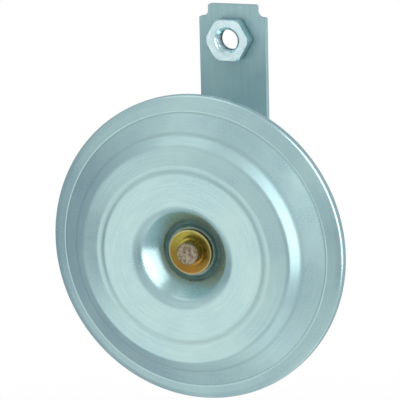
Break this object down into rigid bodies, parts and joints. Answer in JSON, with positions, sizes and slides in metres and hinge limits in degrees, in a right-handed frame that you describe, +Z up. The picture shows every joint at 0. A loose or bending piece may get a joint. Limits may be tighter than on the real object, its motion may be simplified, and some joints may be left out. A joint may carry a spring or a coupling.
{
  "type": "car horn",
  "caption": "Electromagnetic disc horn: stepped round tone disc on a central stud before a pressed steel housing, carried by a flat notched strip with a welded nut.",
  "frame": {"origin": "centre of the mounting nut's seat, in the strip's front face", "axes": "+Z up along the strip, -Y the way the horn faces, +Y along the mounting thread towards the vehicle"},
  "size_m": [0.0974, 0.0592, 0.1204],
  "materials": {
    "zinc_steel": "satin blue zinc plating on pressed steel",
    "strip_steel": "satin zinc plating on rolled strip",
    "bright_nut": "bright zinc plating",
    "grey_washer": "plain zinc plating",
    "yellow_zinc": "yellow chromated steel, iridescent",
    "stud_steel": "yellow chromated steel, peened bare end",
    "soft_iron": "turned soft iron, zinc plated",
    "spring_steel": "cold rolled spring steel",
    "gasket_paper": "oiled gasket paper",
    "bobbin_plastic": "moulded glass-filled nylon",
    "copper_wire": "enamelled copper wire",
    "fibre_plate": "punched phenolic fibre",
    "contact_metal": "tungsten",
    "brass_part": "turned or stamped brass",
    "tinned_blade": "tinned brass strip",
    "seal_lacquer": "red locking lacquer",
    "lead_wire": "insulated lead"
  },
  "bodies": {
    "housing": {"diaphragm": "spring_steel", "back_gasket": "gasket_paper", "front_gasket": "gasket_paper", "housing_pot": "zinc_steel", "magnet_core": "soft_iron", "coil_bobbin": "bobbin_plastic", "coil_winding": "copper_wire", "breaker_base": "zinc_steel", "lower_insulator": "fibre_plate", "middle_insulator": "fibre_plate", "upper_insulator": "fibre_plate", "contact_leaf": "spring_steel", "contact_arm": "spring_steel", "fixed_contact": "contact_metal", "breaker_rivets": "brass_part", "rivet_sleeves": "fibre_plate", "screw_bush": "brass_part", "adjusting_screw": "bright_nut", "screw_sealant": "seal_lacquer", "terminal_plate": "fibre_plate", "inner_terminal_insulator": "fibre_plate", "left_terminal": "tinned_blade", "right_terminal": "tinned_blade", "terminal_rivets": "brass_part", "coil_lead": "lead_wire", "breaker_lead": "lead_wire", "mounting_bracket": "strip_steel", "bracket_nut": "bright_nut", "spring_washer": "zinc_steel", "stud_nut": "bright_nut"},
    "sounder": {"tone_disc": "zinc_steel", "backing_washer": "grey_washer", "dished_washer": "yellow_zinc", "centre_stud": "stud_steel", "spacer_sleeve": "zinc_steel", "stiffening_washer": "zinc_steel", "armature": "soft_iron"},
    "breaker_tip": {"moving_contact": "contact_metal", "pusher_pad": "fibre_plate"}
  },
  "joints": [
    {"name": "armature_stroke", "type": "slide", "parent": "housing", "child": "sounder", "axis": [0, 1, 0], "range_m": [0, 0.0009], "stiffness_N_per_m": 20000, "deforming": ["diaphragm"]},
    {"name": "breaker_opening", "type": "hinge", "parent": "housing", "child": "breaker_tip", "pos_m": [0.025, -0.01995, -0.0609], "axis": [0, 0, -1], "range_deg": [0, 4], "deforming": ["contact_leaf"]}
  ],
  "couplings": [
    {"joint": "breaker_opening", "follows": "armature_stroke", "rad_per_m": 72.807}
  ]
}
